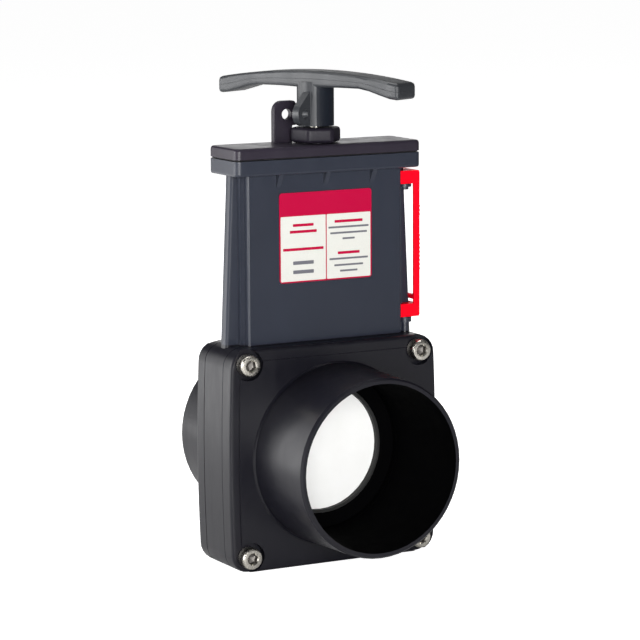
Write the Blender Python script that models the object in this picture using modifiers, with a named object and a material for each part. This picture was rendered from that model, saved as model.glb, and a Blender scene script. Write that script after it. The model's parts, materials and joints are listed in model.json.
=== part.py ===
"""Knife gate valve for DN 100 plastic pipe, closed, as an assembly of separate pieces.

The pipe axis runs along Y and the stem along +Z. The origin is under the middle of the
valve, at the height of its lowest face. Sizes are in millimetres and become metres
where a mesh is made.
"""
from math import cos, pi, radians, sin, sqrt

import bmesh
import bpy
from mathutils import Matrix, Vector

MM = 0.001
GAP = 0.3                    # clearance between pieces that touch

# Pipe and ports
SPIGOT_R = 55.0              # 110 mm pipe size
SPIGOT_ROOT_R = 56.4
SPIGOT_REACH = 81.5          # from the middle of the valve to the end of a spigot
BORE_R = 50.0
MOUTH_R = 51.7
PORT_R = 39.0
AXIS_Z = 69.0                # pipe axis above the lowest face

# Lower body, a sandwich of two plates and the housing's own slab
SLAB_HALF_W = 71.2
SLAB_BOW = 1.3               # the sides swell by this much at mid height
SLAB_HALF_H = 69.0
SLAB_CORNER_R = 12.0
SLAB_Y = 12.35               # half thickness of the housing's slab and casing
PLATE_Y = SLAB_Y + GAP
FACE_Y = 24.0
RIM_DROP = 0.8               # the border of a plate lies below its panel
PANEL_HALF_W = 65.0
PANEL_HALF_H = 61.5
SCREW_OFFSET = 59.5          # each way from the pipe axis
POCKET_R = 9.6
POCKET_FLOOR_Y = 19.3

# Casing above the slab
CASING_HALF_W = 53.4
CASING_EDGE_R = 1.2
STEP_HALF_W = 56.4           # a shoulder between the casing and its side fins
STEP_HALF_Y = 7.75
FIN_HALF_Y = 4.0
FIN_LOW_HALF_W = 65.5        # at the height FIN_LOW_Z, narrower above
FIN_TOP_HALF_W = 60.4
FIN_LOW_Z = 130.0
FLANGE_Z = 242.0
FLANGE_TOP_Z = 251.3
FLANGE_HALF_W = 64.3
FLANGE_HALF_D = 18.5
CHAMBER_HALF_W = 49.5
CHAMBER_HALF_Y = 9.5
CHAMBER_Z = 140.5

# Lid and gland
LID_Z = 252.3
LID_TOP_Z = 259.0
PLUG_Z = 246.8
LUG_HOLE_Z = 276.2
LUG_HOLE_X = -15.3
LUG_Y = (8.8, 13.2)
GLAND_THREAD_R = 10.7
GLAND_FLOOR_Z = 253.8        # the bore under the nut stops short of the lid's underside
GLAND_TOP_Z = 268.7
GLAND_HEX_R = 16.0
GLAND_HEX_TURN = radians(14.0)

# Gate, stem and handle
STROKE = 90.0
BLADE_HALF_W = 46.0
BLADE_HALF_Y = 2.7
BLADE_TOP_Z = 156.4
STEM_R = 4.0
FOOT_R = 7.5
FOOT_Z = 144.0
FOOT_TOP_Z = 148.0
HUB_R = 11.4
HUB_Z = 269.6
BAR_TURN = radians(-64.0)
BAR_HALF_L = 67.6
BAR_HALF_W = 10.0
BAR_CREST_Z = 303.3
BAR_BELLY_Z = 293.6
EAR_REACH = 15.8             # from the stem's axis to the ear's hole
EAR_HOLE_Z = 277.4
EAR_TIP_R = 7.1
EAR_X = (-1.0, 3.7)          # the ear is off the hub's middle

# Locking clip, parked on the casing's right fin
CLIP_HALF_Y = 10.8
CLIP_OUTER_X = 67.6
CLIP_INNER_X = 63.4
CLIP_LOW_Z = 147.6
CLIP_TOP_Z = 239.3
CLIP_ARM_H = 8.1
CLIP_BAR_T = 1.6
CLIP_SLOT_HALF = 4.3         # the forks take the 8 mm stem
PEG = (59.2, -6.5)           # two pegs hold the parked clip at its height

# Label
LABEL_HALF_W = 32.1
LABEL_Z = (175.0, 230.2)

COLOURS = {
    "body": ((0.032, 0.036, 0.046), 0.42, 0.0),
    "lid": ((0.040, 0.038, 0.046), 0.42, 0.0),
    "handle": ((0.055, 0.060, 0.068), 0.45, 0.0),
    "seal": ((0.008, 0.008, 0.008), 0.65, 0.0),
    "blade": ((0.86, 0.86, 0.84), 0.35, 0.0),
    "steel": ((0.62, 0.60, 0.56), 0.28, 1.0),
    "clip": ((0.80, 0.008, 0.030), 0.40, 0.0),
    "label": ((0.60, 0.010, 0.060), 0.45, 0.0),
}


def clear_scene():
    for obj in list(bpy.data.objects):
        bpy.data.objects.remove(obj, do_unlink=True)


def collection(name):
    group = bpy.data.collections.new(name)
    bpy.context.scene.collection.children.link(group)
    return group


def material(name, look):
    colour, roughness, metallic = COLOURS[look]
    mat = bpy.data.materials.new(name)
    mat.use_nodes = True
    shader = mat.node_tree.nodes["Principled BSDF"]
    shader.inputs["Base Color"].default_value = (*colour, 1.0)
    shader.inputs["Roughness"].default_value = roughness
    shader.inputs["Metallic"].default_value = metallic
    return mat


# ---------------------------------------------------------------- solids

def place(name, data, group=None):
    obj = bpy.data.objects.new(name, data)
    (group or CUTTERS).objects.link(obj)
    return obj


def from_bmesh(name, bm):
    mesh = bpy.data.meshes.new(name)
    bm.to_mesh(mesh)
    bm.free()
    return place(name, mesh)


def box(name, low, high):
    """A box from its lowest to its highest corner."""
    size = [b - a for a, b in zip(low, high)]
    middle = [(a + b) / 2 for a, b in zip(low, high)]
    bm = bmesh.new()
    bmesh.ops.create_cube(bm, size=1.0)
    bmesh.ops.scale(bm, vec=Vector(size) * MM, verts=bm.verts)
    bmesh.ops.translate(bm, vec=Vector(middle) * MM, verts=bm.verts)
    return from_bmesh(name, bm)


def turned_to(axis):
    """Rotation that takes +Z to the named axis."""
    turns = {"X": Matrix.Rotation(pi / 2, 4, "Y"), "Y": Matrix.Rotation(-pi / 2, 4, "X"),
             "-Y": Matrix.Rotation(pi / 2, 4, "X"), "Z": Matrix.Identity(4)}
    return turns[axis]


def rod(name, radius, low, high, axis="Z", at=(0, 0, 0), sides=32, turn=0.0):
    """A cylinder or prism along an axis, between two places on that axis."""
    bm = bmesh.new()
    bmesh.ops.create_cone(bm, cap_ends=True, segments=sides, radius1=radius * MM,
                          radius2=radius * MM, depth=(high - low) * MM)
    shift = Matrix.Translation((0, 0, (low + high) / 2 * MM))
    spin = Matrix.Rotation(turn, 4, "Z")
    frame = Matrix.Translation(Vector(at) * MM) @ turned_to(axis) @ spin @ shift
    bmesh.ops.transform(bm, matrix=frame, verts=bm.verts)
    return from_bmesh(name, bm)


def turned(name, profile, axis="Z", at=(0, 0, 0), sides=56):
    """A solid turned from (radius, height) points, closed, running down the outer side."""
    mesh = bpy.data.meshes.new(name)
    points = [(r * MM, 0, h * MM) for r, h in profile]
    count = len(points)
    closed = profile[0][0] > 0 and profile[-1][0] > 0
    edges = [(i, i + 1) for i in range(count - 1)] + ([(count - 1, 0)] if closed else [])
    mesh.from_pydata(points, edges, [])
    obj = place(name, mesh)
    screw = obj.modifiers.new("Turn", "SCREW")
    screw.steps = screw.render_steps = sides
    screw.use_merge_vertices = True
    screw.merge_threshold = 0.00001
    settle(obj)
    obj.data.transform(Matrix.Translation(Vector(at) * MM) @ turned_to(axis))
    return obj


def outline(name, points, low, high, plane="XZ"):
    """A flat outline of (a, b) points, thickened between two places on its normal."""
    curve = bpy.data.curves.new(name, "CURVE")
    curve.dimensions = "2D"
    curve.fill_mode = "BOTH"
    curve.extrude = (high - low) / 2 * MM
    spline = curve.splines.new("POLY")
    spline.points.add(len(points) - 1)
    for point, (a, b) in zip(spline.points, points):
        point.co = (a * MM, b * MM, 0, 1)
    spline.use_cyclic_u = True
    guide = place(name + "_outline", curve)
    bpy.context.view_layer.update()
    graph = bpy.context.evaluated_depsgraph_get()
    mesh = bpy.data.meshes.new_from_object(guide.evaluated_get(graph))
    bpy.data.objects.remove(guide)
    frames = {
        "XY": Matrix(((1, 0, 0), (0, 1, 0), (0, 0, 1))),
        "XZ": Matrix(((1, 0, 0), (0, 0, -1), (0, 1, 0))),
        "YZ": Matrix(((0, 0, 1), (1, 0, 0), (0, 1, 0))),
    }
    normal = frames[plane] @ Vector((0, 0, 1))
    shift = Vector([abs(v) for v in normal]) * (low + high) / 2 * MM
    mesh.transform(Matrix.Translation(shift) @ frames[plane].to_4x4())
    bm = bmesh.new()
    bm.from_mesh(mesh)
    bmesh.ops.remove_doubles(bm, verts=bm.verts, dist=0.000001)
    bmesh.ops.dissolve_limit(bm, angle_limit=0.001, verts=bm.verts, edges=bm.edges)
    bmesh.ops.recalc_face_normals(bm, faces=bm.faces)
    bpy.data.meshes.remove(mesh)
    return from_bmesh(name, bm)


def settle(obj):
    """Replace an object's mesh by what its modifiers make of it."""
    bpy.context.view_layer.update()
    graph = bpy.context.evaluated_depsgraph_get()
    mesh = bpy.data.meshes.new_from_object(obj.evaluated_get(graph))
    obj.modifiers.clear()
    obj.data = mesh
    return obj


def combine(obj, operation, others):
    for other in others:
        step = obj.modifiers.new(operation.title(), "BOOLEAN")
        step.operation = operation
        step.solver = "EXACT"
        step.object = other
        settle(obj)
        bpy.data.objects.remove(other)
    return obj


def cut(obj, *cutters):
    return combine(obj, "DIFFERENCE", cutters)


def join(obj, *others):
    return combine(obj, "UNION", others)


def round_edges(obj, width, segments=2, where=None, angle=30.0):
    """Bevel the sharp edges, or only those whose two ends pass the test `where`."""
    step = obj.modifiers.new("Bevel", "BEVEL")
    step.width = width * MM
    step.segments = segments
    step.use_clamp_overlap = True
    if where is None:
        step.limit_method = "ANGLE"
        step.angle_limit = radians(angle)
        return settle(obj)
    step.limit_method = "WEIGHT"
    bm = bmesh.new()
    bm.from_mesh(obj.data)
    weights = bm.edges.layers.float.new("bevel_weight_edge")
    for edge in bm.edges:
        sharp = len(edge.link_faces) == 2 and edge.calc_face_angle() > radians(angle)
        ends = [v.co / MM for v in edge.verts]
        edge[weights] = 1.0 if sharp and all(where(p) for p in ends) else 0.0
    bm.to_mesh(obj.data)
    bm.free()
    return settle(obj)


def finish(obj, look, pivot=(0, 0, 0)):
    """Keep a solid as a part: name, material, shading and its origin at the pivot."""
    obj.data.name = obj.name
    obj.data.materials.clear()
    obj.data.materials.append(material(obj.name + "_material", look))
    obj.data.shade_smooth()
    obj.data.set_sharp_from_angle(angle=radians(30))
    origin = Vector(pivot) * MM
    obj.data.transform(Matrix.Translation(-origin))
    obj.location = origin
    CUTTERS.objects.unlink(obj)
    PARTS.objects.link(obj)
    return obj


# ---------------------------------------------------------------- outlines

def arc(cx, cy, radius, start, end, steps):
    """Points on an arc, angles in degrees, both ends included."""
    turn = [radians(start + (end - start) * i / steps) for i in range(steps + 1)]
    return [(cx + radius * cos(t), cy + radius * sin(t)) for t in turn]


def rounded_rect(half_a, half_b, radius, steps=5, centre=(0, 0)):
    ca, cb = centre
    a, b = half_a - radius, half_b - radius
    points = []
    for (sa, sb), start in (((1, 1), 0), ((-1, 1), 90), ((-1, -1), 180), ((1, -1), 270)):
        points += arc(ca + sa * a, cb + sb * b, radius, start, start + 90, steps)
    return points


def bowed_rect(half_w, half_h, bow, radius, steps=6, side_steps=8):
    """A rounded rectangle about the pipe axis whose two upright sides swell outwards."""
    straight = half_h - radius

    def side(sign):
        places = [-1 + 2 * i / side_steps for i in range(1, side_steps)]
        return [(sign * (half_w + bow * (1 - s * s)), AXIS_Z + sign * s * straight)
                for s in places]

    inner = half_w - radius
    points = side(1)
    points += arc(inner, AXIS_Z + straight, radius, 0, 90, steps)
    points += arc(-inner, AXIS_Z + straight, radius, 90, 180, steps)
    points += side(-1)
    points += arc(-inner, AXIS_Z - straight, radius, 180, 270, steps)
    points += arc(inner, AXIS_Z - straight, radius, 270, 360, steps)
    return points


def screw_places():
    return [(sx * SCREW_OFFSET, AXIS_Z + sz * SCREW_OFFSET)
            for sz in (1, -1) for sx in (-1, 1)]


# ---------------------------------------------------------------- lower body

def make_plate(name, side):
    """An end plate with its pipe spigot. side is -1 at the front and +1 at the back."""
    facing = "Y" if side > 0 else "-Y"
    at = (0, 0, AXIS_Z)
    near, far = sorted((side * PLATE_Y, side * (FACE_Y - RIM_DROP)))
    plate = outline(name, bowed_rect(SLAB_HALF_W, SLAB_HALF_H, SLAB_BOW, SLAB_CORNER_R),
                    near, far)
    outer = FACE_Y - RIM_DROP - 0.01
    round_edges(plate, 2.1, 3, where=lambda p: side * p.y > outer)
    round_edges(plate, 0.4, 1, where=lambda p: side * p.y < PLATE_Y + 0.01)
    low, high = sorted((side * (FACE_Y - 3), side * FACE_Y))
    panel = outline("panel", bowed_rect(PANEL_HALF_W, PANEL_HALF_H, 1.4, 2.0, 2), low, high)
    spigot = turned("spigot", [
        (0, SPIGOT_REACH), (SPIGOT_R - 1.2, SPIGOT_REACH), (SPIGOT_R, SPIGOT_REACH - 1.4),
        (SPIGOT_ROOT_R, FACE_Y + 1.4), (SPIGOT_ROOT_R + 1.2, FACE_Y - 0.2),
        (SPIGOT_ROOT_R + 1.2, PLATE_Y + 3), (0, PLATE_Y + 3)], facing, at)
    bore = turned("bore", [
        (0, SPIGOT_REACH + 2), (MOUTH_R, SPIGOT_REACH + 2), (MOUTH_R, SPIGOT_REACH),
        (BORE_R, FACE_Y), (BORE_R, PLATE_Y - 2), (0, PLATE_Y - 2)], facing, at)
    groove = turned("groove", [(55.2, PLATE_Y + 2.2), (55.2, PLATE_Y - 1), (52.0, PLATE_Y - 1),
                               (52.0, PLATE_Y + 2.2)], facing, at)
    join(plate, panel)
    for x, z in screw_places():
        pocket = rod("pocket", POCKET_R, POCKET_FLOOR_Y, FACE_Y + 4, facing, (x, 0, z), 32)
        hole = rod("hole", 4.4, PLATE_Y - 2, FACE_Y, facing, (x, 0, z), 24)
        cut(plate, pocket, hole)
    join(plate, spigot)
    cut(plate, bore, groove)
    return finish(plate, "body", at)


def make_seat(name, side):
    """The three sealing rings at one side of the blade."""
    facing = "Y" if side > 0 else "-Y"
    at = (0, 0, AXIS_Z)
    carrier = turned(name + "_seat_ring", [
        (BORE_R + 0.9, SLAB_Y - GAP), (BORE_R + 0.9, 3.1), (PORT_R + 2.2, 3.1),
        (PORT_R + 2.2, 6.6), (PORT_R + 2.8, 7.2), (BORE_R, 7.2),
        (BORE_R, SLAB_Y - GAP)], facing, at)
    lip = turned(name + "_seat_seal", [
        (PORT_R + 1.9, 6.8), (PORT_R + 1.9, 3.0), (PORT_R, 3.0), (PORT_R, 6.3),
        (PORT_R + 0.5, 6.8)], facing, at, 48)
    ring = turned(name + "_body_seal", [
        (54.9, PLATE_Y + 1.9), (54.9, PLATE_Y - 0.05), (52.3, PLATE_Y - 0.05),
        (52.3, PLATE_Y + 1.9)], facing, at, 40)
    finish(carrier, "body", at)
    finish(lip, "seal", at)
    finish(ring, "seal", at)


def make_fasteners():
    """Four cap screws from the front, with washers and nuts in the back plate's pockets."""
    for i, (x, z) in enumerate(screw_places(), 1):
        at = (x, 0, z)
        seat, head = -(POCKET_FLOOR_Y + GAP), -(POCKET_FLOOR_Y + GAP) - 8.0
        screw = turned(f"cap_screw_{i}", [
            (0, 30.6), (3.4, 30.6), (4.0, 29.8), (4.0, seat), (6.5, seat),
            (6.5, head + 0.7), (5.9, head), (0, head)][::-1], "Y", at, 20)
        socket = rod("socket", 3.6, head - 1, head + 4.4, "Y", at, 6, radians(12 * i))
        finish(cut(screw, socket), "steel", at)
        first = POCKET_FLOOR_Y + GAP
        washer = rod(f"nut_washer_{i}", 8.0, first, first + 1.6, "Y", at, 24)
        finish(cut(washer, rod("hole", 4.3, first - 1, first + 3, "Y", at, 16)), "steel", at)
        first += 1.6 + GAP
        nut = rod(f"hex_nut_{i}", 7.5, first, first + 6.5, "Y", at, 6, radians(90))
        finish(cut(nut, rod("hole", 4.3, first - 1, first + 8, "Y", at, 16)), "steel", at)


# ---------------------------------------------------------------- housing

def make_housing():
    """The slab between the plates and the casing that holds the raised blade, in one."""
    housing = outline("valve_housing", bowed_rect(SLAB_HALF_W, SLAB_HALF_H, SLAB_BOW,
                                                  SLAB_CORNER_R), -SLAB_Y, SLAB_Y)
    round_edges(housing, 0.4, 1)
    casing = outline("casing", rounded_rect(CASING_HALF_W, SLAB_Y, CASING_EDGE_R, 3),
                     FIN_LOW_Z, FLANGE_Z + 2, "XY")
    step = box("step", (-STEP_HALF_W, -STEP_HALF_Y, FIN_LOW_Z),
               (STEP_HALF_W, STEP_HALF_Y, FLANGE_Z + 2))
    fin = outline("fin", [(-FIN_LOW_HALF_W, FIN_LOW_Z), (FIN_LOW_HALF_W, FIN_LOW_Z),
                          (FIN_TOP_HALF_W, FLANGE_Z + 2), (-FIN_TOP_HALF_W, FLANGE_Z + 2)],
                  -FIN_HALF_Y, FIN_HALF_Y)
    round_edges(fin, 2.3, 3)
    flange = outline("flange", rounded_rect(FLANGE_HALF_W, FLANGE_HALF_D, 4.0),
                     FLANGE_Z, FLANGE_TOP_Z, "XY")
    round_edges(flange, 1.2, 2, where=lambda p: p.z < FLANGE_Z + 0.01)
    round_edges(flange, 0.4, 1, where=lambda p: p.z > FLANGE_TOP_Z - 0.01)
    join(housing, casing, step, fin, flange)
    for x in (-32.5, 0.0, 32.5):
        for side in (-1, 1):
            foot = side * (SLAB_Y - 1)
            tip = side * (FLANGE_HALF_D - 1.0)
            join(housing, outline("gusset", [(foot, 233.4), (side * SLAB_Y, 233.4),
                                             (tip, FLANGE_Z + 1), (foot, FLANGE_Z + 1)],
                                  x - 1.5, x + 1.5, "YZ"))
    join(housing, *clip_pegs())
    cut(housing, box("chamber", (-CHAMBER_HALF_W, -CHAMBER_HALF_Y, CHAMBER_Z),
                     (CHAMBER_HALF_W, CHAMBER_HALF_Y, FLANGE_TOP_Z + 5)),
        box("slot", (-BLADE_HALF_W - GAP, -3.1, AXIS_Z - 8),
            (BLADE_HALF_W + GAP, 3.1, CHAMBER_Z + 2)),
        rod("bore", BORE_R + 1.2, -SLAB_Y - 2, SLAB_Y + 2, "Y", (0, 0, AXIS_Z), 64),
        box("label_bed", (-LABEL_HALF_W - GAP, -SLAB_Y - 1, LABEL_Z[0] - GAP),
            (LABEL_HALF_W + GAP, -SLAB_Y + 0.5, LABEL_Z[1] + GAP)))
    for x, z in screw_places():
        cut(housing, rod("hole", 4.4, -SLAB_Y - 2, SLAB_Y + 2, "Y", (x, 0, z), 24))
    return finish(housing, "body")


def clip_pegs():
    """The collared post under the parked clip and the stepped knob under its upper arm."""
    at = (*PEG, 0)
    post = rod("post", 2.5, AXIS_Z + SLAB_HALF_H - 2, CLIP_LOW_Z - 2, "Z", at, 24)
    collar = rod("collar", 4.2, CLIP_LOW_Z - 3.4, CLIP_LOW_Z - GAP, "Z", at, 24)
    under = CLIP_TOP_Z - CLIP_ARM_H - GAP
    knob = rod("knob", 4.2, under - 1.8, under, "Z", at, 24)
    stub = rod("stub", 2.5, under - 3.6, under - 1, "Z", at, 24)
    return post, collar, knob, stub


# ---------------------------------------------------------------- lid and gland

def make_lid():
    lid = outline("lid", rounded_rect(FLANGE_HALF_W, FLANGE_HALF_D, 4.0), LID_Z, LID_TOP_Z,
                  "XY")
    round_edges(lid, 2.0, 3, where=lambda p: p.z > LID_TOP_Z - 0.01)
    round_edges(lid, 0.4, 1, where=lambda p: p.z < LID_Z + 0.01)
    plug = outline("plug", rounded_rect(CHAMBER_HALF_W - GAP, CHAMBER_HALF_Y - GAP, 1.0, 2),
                   PLUG_Z, LID_Z + 1, "XY")
    top = 284.5
    lug = outline("lug", [(-11.3, LID_TOP_Z - 1), (-11.3, GLAND_TOP_Z + 0.6),
                          (-8.6, GLAND_TOP_Z + 0.6)]
                  + arc(-11.1, top - 2.5, 2.5, 0, 90, 4)
                  + arc(-17.5, top - 6.5, 6.5, 90, 180, 6)
                  + [(-24.0, LID_TOP_Z - 1)], LUG_Y[0], LUG_Y[1])
    round_edges(lug, 0.4, 1)
    join(lid, plug, lug)
    cut(lid, rod("shackle_hole", 3.3, 5, 16, "Y", (LUG_HOLE_X, 0, LUG_HOLE_Z), 28),
        rod("stem_bore", STEM_R + GAP, PLUG_Z - 2, LID_TOP_Z + 1, sides=32),
        rod("seal_bore", 7.9, PLUG_Z + 1.5, LID_TOP_Z + 1, sides=32),
        rod("gland_bore", GLAND_THREAD_R + GAP, GLAND_FLOOR_Z, LID_TOP_Z + 2, sides=40))
    finish(lid, "lid")
    gasket = outline("lid_gasket", rounded_rect(FLANGE_HALF_W - 0.9, FLANGE_HALF_D - 0.9, 3.2),
                     FLANGE_TOP_Z + GAP, LID_Z - GAP, "XY")
    cut(gasket, box("opening", (-CHAMBER_HALF_W, -CHAMBER_HALF_Y, FLANGE_Z),
                    (CHAMBER_HALF_W, CHAMBER_HALF_Y, LID_TOP_Z)))
    finish(gasket, "seal")


def ring(name, look, inner, outer, low, high):
    solid = turned(name, [(outer, high), (outer, low), (inner, low), (inner, high)], sides=24)
    return finish(solid, look)


def make_gland():
    bore = STEM_R + GAP
    nut = rod("gland_nut", GLAND_HEX_R, LID_TOP_Z + GAP, GLAND_TOP_Z, sides=6,
              turn=GLAND_HEX_TURN)
    round_edges(nut, 2.2, 3, where=lambda p: sqrt(p.x ** 2 + p.y ** 2) > GLAND_HEX_R - 1)
    join(nut, rod("thread", GLAND_THREAD_R, GLAND_FLOOR_Z + 1.6, LID_TOP_Z + 1, sides=40))
    cut(nut, rod("bore", bore, LID_Z, GLAND_TOP_Z + 2, sides=32),
        rod("wiper_seat", 7.9, GLAND_TOP_Z - 3.8, GLAND_TOP_Z + 2, sides=32))
    finish(nut, "lid")
    ring("stem_wiper", "seal", bore, 7.6, GLAND_TOP_Z - 3.5, GLAND_TOP_Z - 0.3)
    ring("gland_bush", "blade", bore, 10.5, GLAND_FLOOR_Z + GAP, GLAND_FLOOR_Z + 1.3)
    low = PLUG_Z + 1.5 + GAP
    ring("stem_seal_lower", "seal", bore, 7.6, low, low + 1.6)
    ring("stem_seal_upper", "seal", bore, 7.6, low + 1.9, low + 3.5)


# ---------------------------------------------------------------- moving pieces

def make_blade():
    """The white blade, round below, with a keyhole for the stem's foot at its top."""
    bottom = arc(0, AXIS_Z, BLADE_HALF_W, 180, 360, 36)
    blade = outline("gate_blade", bottom + [(BLADE_HALF_W, BLADE_TOP_Z),
                                            (-BLADE_HALF_W, BLADE_TOP_Z)],
                    -BLADE_HALF_Y, BLADE_HALF_Y)
    round_edges(blade, 0.5, 1)
    cut(blade, box("foot_slot", (-FOOT_R - GAP, -5, FOOT_Z - GAP),
                   (FOOT_R + GAP, 5, FOOT_TOP_Z + GAP)),
        box("neck_slot", (-3.0 - GAP, -5, FOOT_TOP_Z), (3.0 + GAP, 5, BLADE_TOP_Z + 5)))
    return finish(blade, "blade")


def make_stem():
    """The round stem, which turns in the blade's keyhole by its foot."""
    top = 291.0
    stem = turned("stem", [
        (0, top), (STEM_R - 0.5, top), (STEM_R, top - 0.5), (STEM_R, BLADE_TOP_Z + GAP),
        (3.0, BLADE_TOP_Z + GAP), (3.0, FOOT_TOP_Z), (FOOT_R, FOOT_TOP_Z), (FOOT_R, FOOT_Z),
        (0, FOOT_Z)], sides=24)
    pin_hole = rod("pin_hole", 1.8, -10, 10, "Y", (0, 0, 285.0), 20)
    cut(stem, pin_hole)
    stem.data.transform(Matrix.Rotation(BAR_TURN, 4, "Z"))
    return finish(stem, "steel")


def bar_outline():
    """The arched T bar, seen from the side: its crest is round and its tips hang down."""
    steps = 18

    def crest(u):
        return BAR_CREST_Z - 5.8 * (u / BAR_HALF_L) ** 2

    def belly(u):
        t = min(1.0, max(0.0, (abs(u) - 36.0) / 31.0))
        boss = max(0.0, 1.0 - abs(u) / 20.0)
        return BAR_BELLY_Z - 6.2 * t * t * (3 - 2 * t) - 0.7 * boss

    places = [-BAR_HALF_L + 2 * BAR_HALF_L * i / steps for i in range(steps + 1)]
    return [(u, belly(u)) for u in places] + [(u, crest(u)) for u in reversed(places)]


def make_handle():
    """T bar, hub and padlock ear in one. Built along X, then turned about the stem."""
    handle = outline("handle", bar_outline(), -BAR_HALF_W, BAR_HALF_W)
    round_edges(handle, 2.4, 3)
    hub = rod("hub", HUB_R, HUB_Z, 296.6, sides=40, turn=radians(3.0))
    ear = outline("ear", [(-8.0, EAR_HOLE_Z - EAR_TIP_R)]
                  + arc(-EAR_REACH, EAR_HOLE_Z, EAR_TIP_R, 270, 130, 9)
                  + [(-9.3, 292.3), (-9.3, 297.0), (-8.0, 297.0)], *EAR_X, "YZ")
    join(handle, hub, ear)
    cut(handle, rod("shackle_hole", 3.1, -6, 8, "X", (0, -EAR_REACH, EAR_HOLE_Z), 28),
        rod("stem_socket", STEM_R + GAP, HUB_Z - 2, 291.3, sides=32),
        rod("pin_hole", 1.8, -7, HUB_R + 3, "Y", (0, 0, 285.0), 20))
    handle.data.transform(Matrix.Rotation(BAR_TURN, 4, "Z"))
    finish(handle, "handle")
    pin = rod("handle_pin", 1.5, -6.5, HUB_R - 0.6, "Y", (0, 0, 285.0), 20)
    pin.data.transform(Matrix.Rotation(BAR_TURN, 4, "Z"))
    finish(pin, "steel")


def make_clip():
    """A C-shaped spacer. Its forked arms straddle the fin, or the stem when it is in use."""
    bar = box("locking_clip", (CLIP_INNER_X, -CLIP_HALF_Y, CLIP_LOW_Z + 1),
              (CLIP_OUTER_X, -CLIP_HALF_Y + CLIP_BAR_T, CLIP_TOP_Z - 1))
    shoulder = STEP_HALF_Y + 2 * GAP
    tip, notch = CASING_HALF_W + 2 * GAP, STEP_HALF_W + 2 * GAP
    for low, root in ((CLIP_LOW_Z, 65.1), (CLIP_TOP_Z - CLIP_ARM_H, 61.5)):
        half = [(tip, shoulder), (tip, CLIP_HALF_Y), (CLIP_OUTER_X, CLIP_HALF_Y)]
        slot = [(notch, shoulder), (notch, CLIP_SLOT_HALF), (root, CLIP_SLOT_HALF)]
        fork = [(x, -y) for x, y in half] + list(reversed(half))
        fork += slot + [(x, -y) for x, y in reversed(slot)]
        arm = outline("arm", fork, low, low + CLIP_ARM_H, "XY")
        round_edges(arm, 0.5, 1, where=lambda p: p.x > CLIP_OUTER_X - 0.01)
        join(bar, arm)
    catch = box("catch", (64.6, -9.5, 158.0), (67.2, 3.5, 160.8))
    return finish(join(bar, catch), "clip")


def make_label():
    face = -SLAB_Y + 0.5 - GAP
    label = outline("caution_label",
                    rounded_rect(LABEL_HALF_W, (LABEL_Z[1] - LABEL_Z[0]) / 2, 2.0, 4,
                                 (0, sum(LABEL_Z) / 2)), face - 0.4, face)
    return finish(label, "label")


clear_scene()
PARTS = collection("knife_gate_valve")
CUTTERS = collection("cutters")
make_plate("front_plate", -1)
make_plate("back_plate", 1)
make_seat("front", -1)
make_seat("back", 1)
make_fasteners()
make_housing()
make_lid()
make_gland()
make_blade()
make_stem()
make_handle()
make_clip()
make_label()
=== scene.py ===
"""Looks of the knife gate valve: fine surfaces, fasteners, label, materials, light and camera.

Everything is in metres in the frame's own axes: +Z up the stem, the pipe along Y, the label
on the -Y side.
"""

import json
from math import cos, hypot, pi, radians, sin

import bmesh
import bpy
from mathutils import Euler, Matrix, Vector

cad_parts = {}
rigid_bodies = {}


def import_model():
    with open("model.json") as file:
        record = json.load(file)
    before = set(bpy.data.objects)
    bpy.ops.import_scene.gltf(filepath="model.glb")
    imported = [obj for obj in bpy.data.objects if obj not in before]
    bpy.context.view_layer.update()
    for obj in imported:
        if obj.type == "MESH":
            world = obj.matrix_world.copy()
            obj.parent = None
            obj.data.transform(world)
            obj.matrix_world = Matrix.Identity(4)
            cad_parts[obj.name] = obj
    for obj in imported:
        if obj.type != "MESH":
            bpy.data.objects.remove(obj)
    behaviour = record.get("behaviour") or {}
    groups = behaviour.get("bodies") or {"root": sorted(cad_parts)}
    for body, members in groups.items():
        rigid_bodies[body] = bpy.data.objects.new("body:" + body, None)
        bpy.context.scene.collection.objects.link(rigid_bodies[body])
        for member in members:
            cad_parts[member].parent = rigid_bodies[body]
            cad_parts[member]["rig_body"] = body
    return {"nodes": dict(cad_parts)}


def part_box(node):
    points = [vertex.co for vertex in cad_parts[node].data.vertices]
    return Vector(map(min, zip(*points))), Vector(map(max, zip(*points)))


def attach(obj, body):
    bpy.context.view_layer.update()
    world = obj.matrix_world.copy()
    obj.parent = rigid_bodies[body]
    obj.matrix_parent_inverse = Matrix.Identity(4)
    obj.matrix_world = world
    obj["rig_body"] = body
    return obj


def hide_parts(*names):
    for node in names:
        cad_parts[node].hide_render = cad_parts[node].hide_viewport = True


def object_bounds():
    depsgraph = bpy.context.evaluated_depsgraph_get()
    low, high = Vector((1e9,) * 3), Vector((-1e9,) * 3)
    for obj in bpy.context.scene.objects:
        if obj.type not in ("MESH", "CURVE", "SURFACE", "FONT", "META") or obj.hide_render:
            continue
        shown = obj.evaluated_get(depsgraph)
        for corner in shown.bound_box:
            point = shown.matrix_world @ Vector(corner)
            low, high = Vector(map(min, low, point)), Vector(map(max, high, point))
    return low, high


for old in list(bpy.data.objects):
    bpy.data.objects.remove(old, do_unlink=True)

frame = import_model()
cad_low, cad_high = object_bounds()

MM = 0.001
SCENE = bpy.context.scene

# ---------------------------------------------------------------- camera

CAMERA_AT = (-0.8499, -1.5736, 0.4201)
CAMERA_AZIMUTH = 28.44       # degrees to the left of the label's face
CAMERA_DIP = 8.63            # degrees below the horizon
CAMERA_ROLL = -0.32
CAMERA_LENS = 164.37         # mm, on a sensor of the next width
CAMERA_SENSOR = 36.0
CAMERA_SEES = (0.05, 200.0)  # nearest and furthest distance


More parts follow.
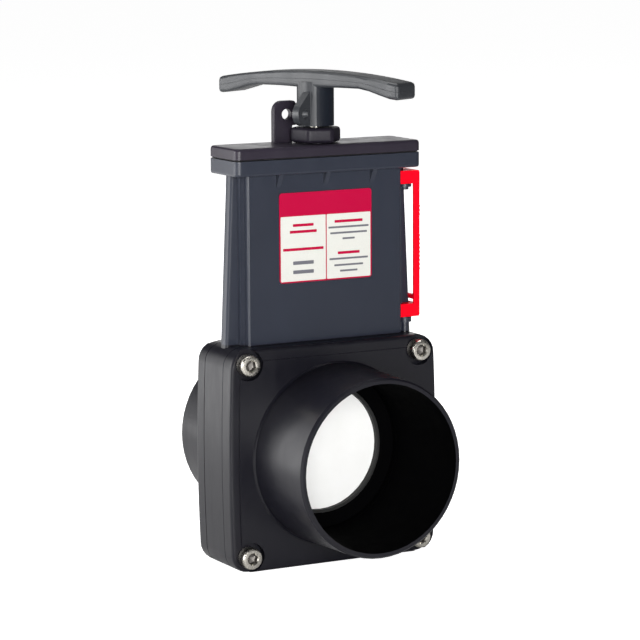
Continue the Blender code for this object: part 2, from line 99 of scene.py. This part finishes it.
def make_camera():
    """A long lens, standing in front of the valve, to its left and a little above it."""
    data = bpy.data.cameras.new("camera")
    data.lens = CAMERA_LENS
    data.sensor_width = CAMERA_SENSOR
    data.clip_start, data.clip_end = CAMERA_SEES
    camera = bpy.data.objects.new("camera", data)
    SCENE.collection.objects.link(camera)
    aim = Euler((radians(90 - CAMERA_DIP), 0, radians(-CAMERA_AZIMUTH))).to_matrix()
    turn = (aim @ Matrix.Rotation(radians(CAMERA_ROLL), 3, "Z")).to_4x4()
    camera.matrix_world = Matrix.Translation(CAMERA_AT) @ turn
    SCENE.camera = camera


# ---------------------------------------------------------------- material nodes

MIX_COLOUR_INPUTS = (0, 6, 7)    # a Mix node's sockets for colours have no names of their own
MIX_COLOUR_OUTPUT = 2


class Graph:
    """A material's node tree, with a short way to add and join nodes."""

    def __init__(self, name):
        self.material = bpy.data.materials.new(name)
        self.material.use_nodes = True
        self.tree = self.material.node_tree
        self.shader = self.tree.nodes["Principled BSDF"]
        self.place = self.add("ShaderNodeTexCoord").outputs["Object"]

    def feed(self, socket, value):
        """Join a node's output to a socket, or give the socket a plain value."""
        if hasattr(value, "is_output"):
            self.tree.links.new(value, socket)
        else:
            socket.default_value = value

    def add(self, kind, settings=None, **inputs):
        """A new node; an input's name has _ for each space."""
        node = self.tree.nodes.new(kind)
        for key, value in (settings or {}).items():
            setattr(node, key, value)
        for key, value in inputs.items():
            self.feed(node.inputs[key.replace("_", " ")], value)
        return node

    def noise(self, grain, detail=3.0, roughness=0.5, stretch=None):
        """Noise whose cells are about `grain` metres; stretch scales each axis."""
        place = self.place
        if stretch:
            place = self.add("ShaderNodeMapping", Vector=place, Scale=stretch).outputs[0]
        return self.add("ShaderNodeTexNoise", Vector=place, Scale=1.0 / grain, Detail=detail,
                        Roughness=roughness).outputs["Fac"]

    def spread(self, value, low, high, from_low=0.3, from_high=0.7):
        """The value's range from_low to from_high, stretched to low to high."""
        return self.add("ShaderNodeMapRange", Value=value, From_Min=from_low,
                        From_Max=from_high, To_Min=low, To_Max=high).outputs[0]

    def ramp(self, value, *stops):
        """Colours along a value; each stop is (position, colour)."""
        node = self.add("ShaderNodeValToRGB", Fac=value)
        while len(node.color_ramp.elements) < len(stops):
            node.color_ramp.elements.new(0.5)
        for element, (position, colour) in zip(node.color_ramp.elements, stops):
            element.position = position
            element.color = (*colour, 1.0)
        return node.outputs["Color"]

    def times(self, value, factor):
        """The value multiplied by a number."""
        node = self.add("ShaderNodeMath", {"operation": "MULTIPLY"})
        self.feed(node.inputs[0], value)
        self.feed(node.inputs[1], factor)
        return node.outputs[0]

    def mixed(self, share, colour, other):
        """A colour that goes towards another as share goes from 0 to 1."""
        node = self.add("ShaderNodeMix", {"data_type": "RGBA"})
        share_in, first_in, second_in = (node.inputs[i] for i in MIX_COLOUR_INPUTS)
        self.feed(share_in, share)
        self.feed(first_in, colour)
        self.feed(second_in, (*other, 1.0))
        return node.outputs[MIX_COLOUR_OUTPUT]

    def bump(self, height, depth, normal=None, strength=1.0):
        """Relief of the given depth in metres, on top of another relief if there is one."""
        node = self.add("ShaderNodeBump", Height=height, Distance=depth, Strength=strength)
        if normal:
            self.feed(node.inputs["Normal"], normal)
        return node.outputs[0]

    def surface(self, colour, roughness, normal, **uniform):
        """The finished material; uniform holds the shader's other inputs."""
        for key, value in (("Base Color", colour), ("Roughness", roughness), ("Normal", normal)):
            self.feed(self.shader.inputs[key], value)
        for key, value in uniform.items():
            self.feed(self.shader.inputs[key.replace("_", " ")], value)
        return self.material


def shade(colour, factor):
    """The colour made lighter or darker by a factor."""
    return tuple(min(1.0, c * factor) for c in colour)


# ---------------------------------------------------------------- materials

DUST_SHARE = 0.16            # how far a dust speck goes from the plastic's tone to its own
DUST_TONE = 2.2              # a speck's own tone, against the plastic's


def moulded_plastic(name, colour, roughness, level=0.45, grain=0.25, streak=0.12):
    """Injection moulded plastic: fine spark grain, slow flow marks, faint rubs and dust.

    level is the strength of its reflections, grain the spark grain's size in mm, and streak
    how much lighter and darker the flow marks are.
    """
    g = Graph(name)
    flow = g.noise(42 * MM, 4.0, 0.6, (1.0, 1.0, 0.45))
    tone = g.ramp(flow, (0.25, shade(colour, 1 - streak)), (0.55, colour),
                  (0.85, shade(colour, 1 + 1.6 * streak)))
    speck = g.spread(g.noise(1.1 * MM, 2.0, 0.7), 0.0, 1.0, 0.66, 0.78)
    dusty = g.mixed(g.times(speck, DUST_SHARE), tone, shade(colour, DUST_TONE))
    rub = g.noise(9 * MM, 5.0, 0.65, (1.0, 1.0, 0.3))
    satin = g.spread(rub, roughness - 0.05, roughness + 0.07)
    fine = g.bump(g.noise(grain * MM, 2.0), 0.012 * MM, strength=0.7)
    sink = g.bump(g.noise(24 * MM, 1.0), 0.10 * MM, normal=fine, strength=0.5)
    return g.surface(dusty, satin, sink, Specular_IOR_Level=level)


def stainless(name, colour=(0.66, 0.63, 0.57), roughness=0.24):
    """Passivated stainless steel with fine turning marks and a few stains."""
    g = Graph(name)
    stain = g.noise(2.6 * MM, 4.0, 0.6)
    tone = g.ramp(stain, (0.3, shade(colour, 0.80)), (0.6, colour), (0.8, shade(colour, 1.12)))
    marks = g.noise(0.16 * MM, 2.0, 0.5, (1.0, 0.15, 1.0))
    rough = g.spread(g.noise(1.2 * MM, 3.0), roughness - 0.05, roughness + 0.12)
    return g.surface(tone, rough, g.bump(marks, 0.008 * MM, strength=0.6), Metallic=1.0)


def rubber(name):
    """Black moulded rubber, dull and slightly uneven."""
    g = Graph(name)
    tone = g.ramp(g.noise(3 * MM, 4.0, 0.6), (0.3, (0.006, 0.006, 0.006)),
                  (0.8, (0.014, 0.014, 0.014)))
    rough = g.spread(g.noise(6 * MM, 3.0), 0.52, 0.72)
    return g.surface(tone, rough, g.bump(g.noise(0.3 * MM, 3.0), 0.02 * MM),
                     Specular_IOR_Level=0.35)


def white_blade(name):
    """Smooth extruded sheet, very slightly uneven, with faint slide marks up and down."""
    g = Graph(name)
    tone = g.ramp(g.noise(18 * MM, 3.0), (0.3, (0.85, 0.85, 0.83)), (0.8, (0.90, 0.90, 0.89)))
    marks = g.noise(0.35 * MM, 2.0, 0.5, (1.0, 1.0, 0.02))
    rough = g.spread(g.noise(7 * MM, 3.0), 0.30, 0.42)
    return g.surface(tone, rough, g.bump(marks, 0.006 * MM, strength=0.5))


def printed(name, colour, roughness=0.36):
    """Ink on laminated film: a fine print screen and slight laminate orange peel."""
    g = Graph(name)
    tone = g.ramp(g.noise(0.5 * MM, 2.0), (0.3, shade(colour, 0.95)), (0.7, shade(colour, 1.03)))
    rough = g.spread(g.noise(5 * MM, 2.0), roughness - 0.04, roughness + 0.06)
    return g.surface(tone, rough, g.bump(g.noise(1.4 * MM, 1.0), 0.008 * MM),
                     Specular_IOR_Level=0.15)


# The casing's plastic: the slab's and plates' dark plastic in a lighter tone, a painted reflection
SLATE_PAINTED_LIGHT = (0.0155, 0.0190, 0.031)
DARK_SLATE = (0.0036, 0.0034, 0.0068)
# Inside the pipe: near black with almost no reflection, a painted shade for the dark bore
BORE_PAINTED_SHADE = (0.001, 0.001, 0.0012)
WARM_GREY = (0.020, 0.016, 0.025)
COOL_GREY = (0.024, 0.026, 0.030)
# Hub: the handle's plastic darker and duller, a painted shade under the bar
HUB_PAINTED_SHADE = (0.007, 0.009, 0.014)
# Gland nut: the lid's plastic in a darker, duller tone, a painted shade
GLAND_PAINTED_SHADE = (0.012, 0.010, 0.016)
RED = (0.86, 0.0008, 0.012)
# Socket steel: the screws' steel darker and rougher inside the hexagon sockets, a painted shade in
# the recess
SOCKET_PAINTED_SHADE = (0.16, 0.15, 0.14)
CRIMSON = (0.40, 0.0004, 0.036)
PAPER = (0.60, 0.60, 0.56)
INK = (0.13, 0.13, 0.15)


def make_materials():
    """Every look, by the short name that the pieces use."""
    return {
        # the casing's look is the body's plastic made lighter, a painted reflection
        "casing_painted_light": moulded_plastic("casing_plastic_painted_light", SLATE_PAINTED_LIGHT, 0.34, 0.42),
        "body": moulded_plastic("dark_slate_plastic", DARK_SLATE, 0.34, 0.38),
        "bore": moulded_plastic("bore_plastic", BORE_PAINTED_SHADE, 0.75, 0.01),
        "lid": moulded_plastic("lid_plastic", WARM_GREY, 0.32, 0.32),
        "handle": moulded_plastic("handle_plastic", COOL_GREY, 0.42, 0.42, grain=0.4, streak=0.05),
        "hub": moulded_plastic("hub_plastic", HUB_PAINTED_SHADE, 0.45, 0.12),
        "gland": moulded_plastic("gland_plastic_painted_shade", GLAND_PAINTED_SHADE, 0.38, 0.16),
        "clip": moulded_plastic("red_plastic", RED, 0.36, 0.07, streak=0.05),
        "steel": stainless("stainless_steel"),
        "socket": stainless("socket_steel_painted_shade", SOCKET_PAINTED_SHADE, 0.42),
        "seal": rubber("black_rubber"),
        "blade": white_blade("white_blade"),
        "crimson": printed("crimson_print", CRIMSON),
        "paper": printed("white_print", PAPER),
        "ink": printed("grey_print", INK),
    }


# ---------------------------------------------------------------- pieces from the frame

PLAIN_EDGE = 0.28 * MM       # radius that a mould leaves on a sharp edge
EDGE_SEGMENTS = 2
EDGE_ANGLE = 30.0            # degrees; only sharper edges are rounded
FLAT_ANGLE = 0.3             # degrees; flatter seams between facets are dissolved
WELD = 0.001 * MM


def mesh_of(bm, name):
    """The finished mesh of a bmesh, which is freed."""
    mesh = bpy.data.meshes.new(name)
    bm.to_mesh(mesh)
    bm.free()
    return mesh


def link_piece(name, mesh, looks, body, stands_for=()):
    """A piece of the visible model: linked, dressed, riding on its body."""
    piece = bpy.data.objects.new(name, mesh)
    SCENE.collection.objects.link(piece)
    for look in looks:
        mesh.materials.append(MATERIALS[look])
    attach(piece, body)
    if stands_for:
        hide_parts(*stands_for)
    return piece


def within(radius, axes, centre, top=1.0):
    """A test for the faces that lie wholly within a radius of a line, and below a height.

    The line goes through `centre`, square to the plane of the two axes (0 is X, 1 is Y, 2 is Z).
    """
    a, b = axes

    def test(face):
        return all(v.co.z < top and hypot(v.co[a] - centre[a], v.co[b] - centre[b]) < radius
                   for v in face.verts)
    return test


def below(height):
    """A test for the faces that lie wholly below a height."""
    return lambda face: all(v.co.z < height for v in face.verts)


def refined(node, *looks, edge=PLAIN_EDGE, other=None, split=None):
    """The node's own shape with its seams welded, its edges rounded and smooth shading.

    Faces that pass the test `other` take the second of two looks, and `split` is a height at
    which faces are divided first.
    """
    bm = bmesh.new()
    bm.from_mesh(frame["nodes"][node].data)
    bmesh.ops.remove_doubles(bm, verts=bm.verts, dist=WELD)
    bmesh.ops.dissolve_limit(bm, angle_limit=radians(FLAT_ANGLE), verts=bm.verts, edges=bm.edges)
    if split:
        bmesh.ops.bisect_plane(bm, geom=bm.verts[:] + bm.edges[:] + bm.faces[:],
                               plane_co=(0, 0, split), plane_no=(0, 0, 1))
    if other:
        for face in bm.faces:
            face.material_index = int(other(face))
    mesh = mesh_of(bm, node + "_fine")
    mesh.shade_smooth()
    body = frame["nodes"][node]["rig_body"]
    piece = link_piece(node + "_fine", mesh, looks, body, (node,))
    bevel = piece.modifiers.new("edges", "BEVEL")
    bevel.width = edge
    bevel.segments = EDGE_SEGMENTS
    bevel.limit_method = "ANGLE"
    bevel.angle_limit = radians(EDGE_ANGLE)
    bevel.harden_normals = True
    normals = piece.modifiers.new("normals", "WEIGHTED_NORMAL")
    normals.keep_sharp = True


# ---------------------------------------------------------------- housing, plates and seats

PIPE_INSIDE_R = 51.9 * MM    # between the spigots' inside and outside
ACROSS_PIPE = (0, 2)
CASING_GAP = 0.5 * MM        # from the plates' top up to where the casing's painted lighter tone starts
ROUNDING = 0.01 * MM         # slack for heights that a mesh holds as 32-bit numbers


def make_housing():
    """The slab is dark like the plates; the casing, the same plastic, is lighter: a painted
    reflection.
    """
    casing_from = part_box("front_plate")[1].z + CASING_GAP
    refined("valve_housing", "casing_painted_light", "body", edge=0.4 * MM,
            other=below(casing_from + ROUNDING), split=casing_from)


def make_pipe():
    """The plates with their spigots, and the seat rings; inside the pipe all are painted near
    black: painted shade.
    """
    low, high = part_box("front_seat_ring")
    # faces inside the pipe take the painted shade
    inside = within(PIPE_INSIDE_R, ACROSS_PIPE, (low + high) / 2)
    for node, edge in (("front_plate", 0.42), ("back_plate", 0.42),
                       ("front_seat_ring", 0.2), ("back_seat_ring", 0.2)):
        refined(node, "body", "bore", edge=edge * MM, other=inside)


# ---------------------------------------------------------------- handle

HUB_R = 11.6 * MM            # just over the hub's own radius
ACROSS_STEM = (0, 1)
BAR_TURN = radians(-64.0)
BAR_HALF_L, BAR_HALF_W = 67.6 * MM, 10.0 * MM
BAR_CORNER_R = 2.4 * MM
BAR_THICK = 9.7 * MM         # over the hub
HUB_OVERLAP = 0.2 * MM       # how far the hub's painted shade may reach up past the bar's underside
CREST_DROP = 5.8 * MM        # how much lower the bar's top is at its ends
BELLY_DROP = 6.2 * MM        # how much lower its underside is there
BELLY_FLAT = 36 * MM         # the underside is level this far from the stem
BELLY_FALL = 31 * MM         # and reaches its full drop this much further out
SEAM_R = 0.13 * MM
SEAM_STEPS = 40              # along each long side


def make_handle():
    """The bar is grained and satin; the hub under it, the same plastic, is darker and duller:
    painted shade.
    """
    hub_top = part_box("handle")[1].z - BAR_THICK + HUB_OVERLAP
    refined("handle", "handle", "hub", edge=0.4 * MM,
            other=within(HUB_R, ACROSS_STEM, (0, 0), hub_top))


def rounded(low_u, low_v, high_u, high_v, radius, steps=6):
    """Corners of a rounded rectangle, counter-clockwise."""
    corners = ((high_u - radius, high_v - radius, 0), (low_u + radius, high_v - radius, 90),
               (low_u + radius, low_v + radius, 180), (high_u - radius, low_v + radius, 270))
    return [(cu + radius * cos(radians(start + 90 * i / steps)),
             cv + radius * sin(radians(start + 90 * i / steps)))
            for cu, cv, start in corners for i in range(steps + 1)]


def bar_outline():
    """The bar's outline from above, along and across it, with its long sides divided."""
    corners = rounded(-BAR_HALF_L, -BAR_HALF_W, BAR_HALF_L, BAR_HALF_W, BAR_CORNER_R)
    path = []
    for (u, v), (next_u, _next_v) in zip(corners, corners[1:] + corners[:1]):
        steps = SEAM_STEPS if abs(next_u - u) > BAR_HALF_L else 1
        path += [(u + (next_u - u) * i / steps, v) for i in range(steps)]
    return path


def bar_middle(u, top):
    """Height half way up the arched bar, u along it from the stem, without the hub's boss."""
    crest = top - CREST_DROP * (u / BAR_HALF_L) ** 2
    t = min(1.0, max(0.0, (abs(u) - BELLY_FLAT) / BELLY_FALL))
    belly = top - BAR_THICK - BELLY_DROP * t * t * (3 - 2 * t)
    return (crest + belly) / 2


def make_seam():
    """The fine raised line where the handle's mould halves meet, all round the bar."""
    path = bar_outline()
    curve = bpy.data.curves.new("handle_seam", "CURVE")
    curve.dimensions = "3D"
    curve.bevel_depth = SEAM_R
    curve.bevel_resolution = 2
    spline = curve.splines.new("POLY")
    spline.points.add(len(path) - 1)
    spline.use_cyclic_u = True
    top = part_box("handle")[1].z
    for point, (u, v) in zip(spline.points, path):
        x, y = u * cos(BAR_TURN) - v * sin(BAR_TURN), u * sin(BAR_TURN) + v * cos(BAR_TURN)
        point.co = (x, y, bar_middle(u, top), 1)
    guide = bpy.data.objects.new("seam_guide", curve)
    SCENE.collection.objects.link(guide)
    bpy.context.view_layer.update()
    graph = bpy.context.evaluated_depsgraph_get()
    mesh = bpy.data.meshes.new_from_object(guide.evaluated_get(graph))
    bpy.data.objects.remove(guide)
    mesh.shade_smooth()
    link_piece("handle_seam", mesh, ("handle",), "spindle")


# ---------------------------------------------------------------- fasteners

FASTENERS = range(1, 5)
HEAD_R = 6.63 * MM           # a knurled M8 head, over the knurl
HEAD_LONG = 8.0 * MM
HEAD_TEETH = 44
KNURL_DEEP = 0.22 * MM
SOCKET_AF = 6.0 * MM
THREAD_R = 4.0 * MM
THREAD_DEEP = 0.55 * MM
THREAD_PITCH = 1.25 * MM
THREAD_LONG = 11.0 * MM      # the part of the shank that is threaded
THREAD_STEP = THREAD_PITCH / 8
NUT_AF = 13.0 * MM
NUT_BORE_R = 4.15 * MM
NUT_FACE_R = 6.35 * MM       # of the round that the chamfer leaves on each face
NUT_SOFT = 0.45 * MM         # chamfer at the mouth of its bore
WASHER_R = 8.0 * MM
WASHER_BORE_R = 4.3 * MM
WASHER_SOFT = 0.22 * MM


def turned(node, rings, sides, *looks, hollow=False, sharp=32.0):
    """A solid about the line along Y through the middle of the node that it replaces.

    Each ring is (place on Y, radius), and the radius is a number or a function of the angle
    and the place. The first and last rings are capped, or joined to each other if it is
    hollow. Edges sharper than `sharp` degrees stay sharp.
    """
    low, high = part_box(node)
    cx, cz = (low.x + high.x) / 2, (low.z + high.z) / 2
    bm = bmesh.new()
    loops = []
    for y, radius in rings:
        loop = []
        for i in range(sides):
            t = 2 * pi * i / sides
            r = radius(t, y) if callable(radius) else radius
            loop.append(bm.verts.new((cx + r * sin(t), y, cz + r * cos(t))))
        loops.append(loop)
    following = loops[1:] + loops[:1] if hollow else loops[1:]
    for a, b in zip(loops, following):
        for i in range(sides):
            j = (i + 1) % sides
            bm.faces.new((a[i], a[j], b[j], b[i]))
    if not hollow:
        bm.faces.new(loops[0])
        bm.faces.new(loops[-1])
    bmesh.ops.recalc_face_normals(bm, faces=bm.faces)
    mesh = mesh_of(bm, node + "_fine")
    mesh.shade_smooth()
    mesh.set_sharp_from_angle(angle=radians(sharp))
    return link_piece(node + "_fine", mesh, looks, "valve", (node,))


def hexagon(across_flats, turn=0.0):
    """Radius of a hexagon at each angle."""
    def radius(t, _y):
        off = (t - turn + pi / 6) % (pi / 3) - pi / 6
        return across_flats / 2 / cos(off)
    return radius


def thread(t, y):
    """Radius of a V thread, which climbs one pitch a turn."""
    wave = (y / THREAD_PITCH - t / (2 * pi)) % 1.0
    return THREAD_R - THREAD_DEEP * abs(2 * wave - 1)


def knurl(t, _y):
    """Radius of the head's straight knurl."""
    wave = (t * HEAD_TEETH / (2 * pi)) % 1.0
    return HEAD_R - KNURL_DEEP * abs(2 * wave - 1)


def make_screw(index):
    """Socket head cap screw with a knurled head, a chamfered rim and a real hexagon socket."""
    node = f"cap_screw_{index}"
    low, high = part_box(node)
    face, tail = low.y, high.y
    seat = face + HEAD_LONG
    socket = hexagon(SOCKET_AF, radians(12 * index + 8))
    # from the point at the bottom of the socket, out over the rim and back under the head
    rings = [(face + 5.1 * MM, 0.35 * MM), (face + 4.2 * MM, socket),
             (face + 0.75 * MM, socket), (face + 0.1 * MM, 3.75 * MM),
             (face, 3.85 * MM), (face, 5.55 * MM), (face + 0.1 * MM, 5.85 * MM),
             (face + 0.8 * MM, 6.4 * MM), (face + 1.3 * MM, knurl), (seat - 0.7 * MM, knurl),
             (seat - 0.3 * MM, 6.4 * MM), (seat, 6.1 * MM), (seat, THREAD_R)]
    thread_from, thread_to = tail - THREAD_LONG, tail - 0.9 * MM
    rings.append((thread_from, THREAD_R))
    count = int((thread_to - thread_from) / THREAD_STEP)
    rings += [(thread_from + THREAD_STEP * i, thread) for i in range(1, count)]
    rings += [(tail - 0.6 * MM, 3.45 * MM), (tail, 3.0 * MM)]
    screw = turned(node, rings, HEAD_TEETH * 4, "steel", "socket")
    centre = (low + high) / 2
    # faces in the socket take the darker steel, painted shade in the recess
    for side in screw.data.polygons:
        x, y, z = side.center
        in_socket = hypot(x - centre.x, z - centre.z) < 0.6 * SOCKET_AF
        side.material_index = int(in_socket and face + 0.5 * MM < y < seat)


def make_nut(index):
    """Hexagon nut with both faces chamfered round."""
    node = f"hex_nut_{index}"
    low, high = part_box(node)
    flats = hexagon(NUT_AF, radians(90))

    def chamfered(t, y):
        in_from_face = min(y - low.y, high.y - y)
        return min(flats(t, y), NUT_FACE_R + 2.0 * in_from_face)

    depths = [0.15 * MM * i for i in range(7)]
    rings = [(low.y, NUT_BORE_R + NUT_SOFT)]
    rings += [(low.y + depth, chamfered) for depth in depths]
    rings += [(high.y - depth, chamfered) for depth in reversed(depths)]
    rings += [(high.y, NUT_BORE_R + NUT_SOFT), (high.y - NUT_SOFT, NUT_BORE_R),
              (low.y + NUT_SOFT, NUT_BORE_R)]
    turned(node, rings, 96, "steel", hollow=True, sharp=25.0)


def make_washer(index):
    """Plain washer with softened edges."""
    node = f"nut_washer_{index}"
    low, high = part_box(node)
    bore, outer, soft = WASHER_BORE_R, WASHER_R, WASHER_SOFT
    rings = [(low.y, bore + soft), (low.y, outer - soft), (low.y + soft, outer),
             (high.y - soft, outer), (high.y, outer - soft), (high.y, bore + soft),
             (high.y - soft, bore), (low.y + soft, bore)]
    turned(node, rings, 72, "steel", hollow=True)


# ---------------------------------------------------------------- label

LABEL_CORNER_R = 2.0 * MM
LABEL_BORDER = 0.85 * MM
FIELD_CORNER_R = 0.5 * MM
FIELD_GAP = 0.7 * MM         # crimson line between the two white fields
FIELD_SHIFT = 0.2 * MM       # of that line, to the right of the label's middle
TEXT_CORNER_R = 0.3 * MM
LAYER = 0.04 * MM            # thickness of each printed layer
HEADER_SHARE = 0.262         # of the label's height, in crimson
LABEL_LOOKS = ("crimson", "paper", "ink")
ON_CRIMSON, ON_PAPER, ON_INK = range(3)

# Bars that stand for lines of text: height in the field, half thickness in mm, share of the
# field's width, look
LEFT_BARS = ((0.86, 0.85, 0.46, ON_CRIMSON), (0.76, 0.85, 0.60, ON_CRIMSON),
             (0.49, 0.85, 0.90, ON_CRIMSON), (0.28, 1.10, 0.46, ON_INK),
             (0.14, 1.10, 0.46, ON_INK))
RIGHT_BARS = ((0.88, 0.85, 0.64, ON_CRIMSON), (0.79, 0.60, 0.92, ON_INK),
              (0.70, 0.60, 0.84, ON_INK), (0.61, 0.60, 0.28, ON_INK),
              (0.39, 0.85, 0.50, ON_CRIMSON), (0.30, 0.60, 0.88, ON_INK),
              (0.20, 0.60, 0.66, ON_INK), (0.11, 0.60, 0.40, ON_INK))


def patch(bm, points, back, front, slot):
    """A thin plate with the given outline, between two places on Y."""
    rear = [bm.verts.new((x, back, z)) for x, z in points]
    near = [bm.verts.new((x, front, z)) for x, z in points]
    count = len(points)
    faces = [bm.faces.new(near), bm.faces.new(rear[::-1])]
    for i in range(count):
        j = (i + 1) % count
        faces.append(bm.faces.new((rear[i], rear[j], near[j], near[i])))
    for face in faces:
        face.material_index = slot


def make_label():
    """Laminated film: a crimson ground, two white fields and rows of plain bars for text."""
    low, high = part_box("caution_label")
    front = low.y
    bm = bmesh.new()
    ground = rounded(low.x, low.z, high.x, high.z, LABEL_CORNER_R)
    patch(bm, ground, high.y, front, ON_CRIMSON)
    field_low = low.z + LABEL_BORDER
    field_high = high.z - HEADER_SHARE * (high.z - low.z)
    middle = (low.x + high.x) / 2 + FIELD_SHIFT
    fields = ((low.x + LABEL_BORDER, middle - FIELD_GAP / 2, LEFT_BARS),
              (middle + FIELD_GAP / 2, high.x - LABEL_BORDER, RIGHT_BARS))
    for left, right, _bars in fields:
        field = rounded(left, field_low, right, field_high, FIELD_CORNER_R, 3)
        patch(bm, field, front, front - LAYER, ON_PAPER)
    for left, right, bars in fields:
        centre = (left + right) / 2
        for share, half, wide, look in bars:
            z = field_low + share * (field_high - field_low)
            reach = wide * (right - left) / 2
            bar = rounded(centre - reach, z - half * MM, centre + reach, z + half * MM,
                          TEXT_CORNER_R, 3)
            patch(bm, bar, front - LAYER, front - 1.6 * LAYER, look)
    bmesh.ops.recalc_face_normals(bm, faces=bm.faces)
    mesh = mesh_of(bm, "label_film")
    link_piece("label_film", mesh, LABEL_LOOKS, "valve", ("caution_label",))


# ---------------------------------------------------------------- clip ribs

RIB_PROUD = 0.45 * MM
RIB_SUNK = 0.2 * MM
RIB_WIDE = 1.1 * MM
RIB_HIGH = 1.2 * MM
RIB_PITCH = 2.6 * MM
RIB_INSET = 0.8 * MM         # from the clip's front to the ribs' middle
RIB_EDGE = 0.18 * MM
RIB_GROUPS = ((29.4 * MM, 9), (63.4 * MM, 3))    # height above the clip's foot, and how many


def make_clip_ribs():
    """Two groups of low plain ribs on the clip's outer side."""
    low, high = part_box("locking_clip")
    size = Vector((RIB_PROUD + RIB_SUNK, RIB_WIDE, RIB_HIGH))
    bm = bmesh.new()
    for start, count in RIB_GROUPS:
        for i in range(count):
            foot = low.z + start + RIB_PITCH * i
            rib = bmesh.ops.create_cube(bm, size=1.0)["verts"]
            bmesh.ops.scale(bm, vec=size, verts=rib)
            middle = (high.x - RIB_SUNK + size.x / 2, low.y + RIB_INSET, foot + size.z / 2)
            bmesh.ops.translate(bm, vec=middle, verts=rib)
    mesh = mesh_of(bm, "clip_ribs")
    mesh.shade_smooth()
    piece = link_piece("clip_ribs", mesh, ("clip",), "clip")
    soften = piece.modifiers.new("soften", "BEVEL")
    soften.width = RIB_EDGE
    soften.segments = 2


# ---------------------------------------------------------------- studio

FLOOR_R = 30.0
FLOOR_GLOW = 0.93
WORLD_LIGHT = 0.06           # the world's strength as a light; to the camera it is 1
VALVE_MIDDLE = (0, 0, 0.15)


def make_floor():
    """A wide pale floor. Only the camera sees its own glow, so it doesn't light the valve."""
    bm = bmesh.new()
    bmesh.ops.create_circle(bm, cap_ends=True, segments=96, radius=FLOOR_R)
    mesh = mesh_of(bm, "floor")
    floor = bpy.data.objects.new("floor", mesh)
    floor.location.z = cad_low.z - 0.1 * MM
    SCENE.collection.objects.link(floor)
    material = bpy.data.materials.new("pale_floor")
    material.use_nodes = True
    tree = material.node_tree
    shader = tree.nodes["Principled BSDF"]
    shader.inputs["Base Color"].default_value = (0.86, 0.86, 0.86, 1)
    shader.inputs["Roughness"].default_value = 0.9
    shader.inputs["Specular IOR Level"].default_value = 0.1
    shader.inputs["Emission Color"].default_value = (1, 1, 1, 1)
    seen = tree.nodes.new("ShaderNodeLightPath").outputs["Is Camera Ray"]
    glow = tree.nodes.new("ShaderNodeMath")
    glow.operation = "MULTIPLY"
    glow.inputs[1].default_value = FLOOR_GLOW
    tree.links.new(seen, glow.inputs[0])
    tree.links.new(glow.outputs[0], shader.inputs["Emission Strength"])
    mesh.materials.append(material)


def make_world():
    """White behind the valve to the camera, and only a faint light on it."""
    world = bpy.data.worlds.new("studio")
    SCENE.world = world
    world.use_nodes = True
    tree = world.node_tree
    ground = tree.nodes["Background"]
    ground.inputs["Color"].default_value = (1, 1, 1, 1)
    seen = tree.nodes.new("ShaderNodeLightPath").outputs["Is Camera Ray"]
    level = tree.nodes.new("ShaderNodeMapRange")
    level.inputs["To Min"].default_value = WORLD_LIGHT
    level.inputs["To Max"].default_value = 1.0
    tree.links.new(seen, level.inputs["Value"])
    tree.links.new(level.outputs[0], ground.inputs["Strength"])


def softbox(name, at, aim, width, height, watts):
    """A rectangular light, aimed at a point, that the camera doesn't see."""
    data = bpy.data.lights.new(name, "AREA")
    data.shape = "RECTANGLE"
    data.size, data.size_y = width, height
    data.energy = watts
    light = bpy.data.objects.new(name, data)
    light.location = at
    light.rotation_euler = (Vector(aim) - Vector(at)).to_track_quat("-Z", "Y").to_euler()
    light.visible_camera = False
    SCENE.collection.objects.link(light)


def make_lights():
    """A large soft front light, fills on the left, and weaker ones above and behind."""
    softbox("front", (-0.75, -2.1, 0.42), VALVE_MIDDLE, 1.1, 1.1, 68)
    softbox("front_low", (-0.95, -0.75, 0.03), (-0.03, -0.05, 0.06), 0.5, 0.25, 1.6)
    softbox("left_flank", (-1.45, 1.25, 0.35), VALVE_MIDDLE, 1.3, 1.5, 22)
    softbox("left_side", (-1.75, 0.25, 0.45), (0, 0, 0.25), 0.5, 0.8, 20)
    softbox("left_floor", (-0.85, 0.55, 0.01), (-0.85, 0.551, 1.0), 1.1, 0.9, 7)
    softbox("top", (0.1, 0.5, 1.9), VALVE_MIDDLE, 1.2, 1.0, 20)
    softbox("back", (1.0, 1.9, 0.5), VALVE_MIDDLE, 1.3, 0.8, 4.0)


# ---------------------------------------------------------------- build

SCENE.view_settings.view_transform = "Standard"
make_camera()
MATERIALS = make_materials()
make_housing()
make_pipe()
refined("lid", "lid")
# the gland nut's darker, duller look is painted shade
refined("gland_nut", "gland")
make_handle()
refined("locking_clip", "clip", edge=0.3 * MM)
refined("gate_blade", "blade", edge=0.2 * MM)
refined("gland_bush", "blade", edge=0.1 * MM)
for node in ("stem", "handle_pin"):
    refined(node, "steel", edge=0.15 * MM)
for node in ("front_seat_seal", "back_seat_seal", "front_body_seal", "back_body_seal",
             "lid_gasket", "stem_wiper", "stem_seal_lower", "stem_seal_upper"):
    refined(node, "seal", edge=0.1 * MM)
for number in FASTENERS:
    make_screw(number)
    make_nut(number)
    make_washer(number)
make_label()
make_clip_ribs()
make_seam()
make_floor()
make_world()
make_lights()
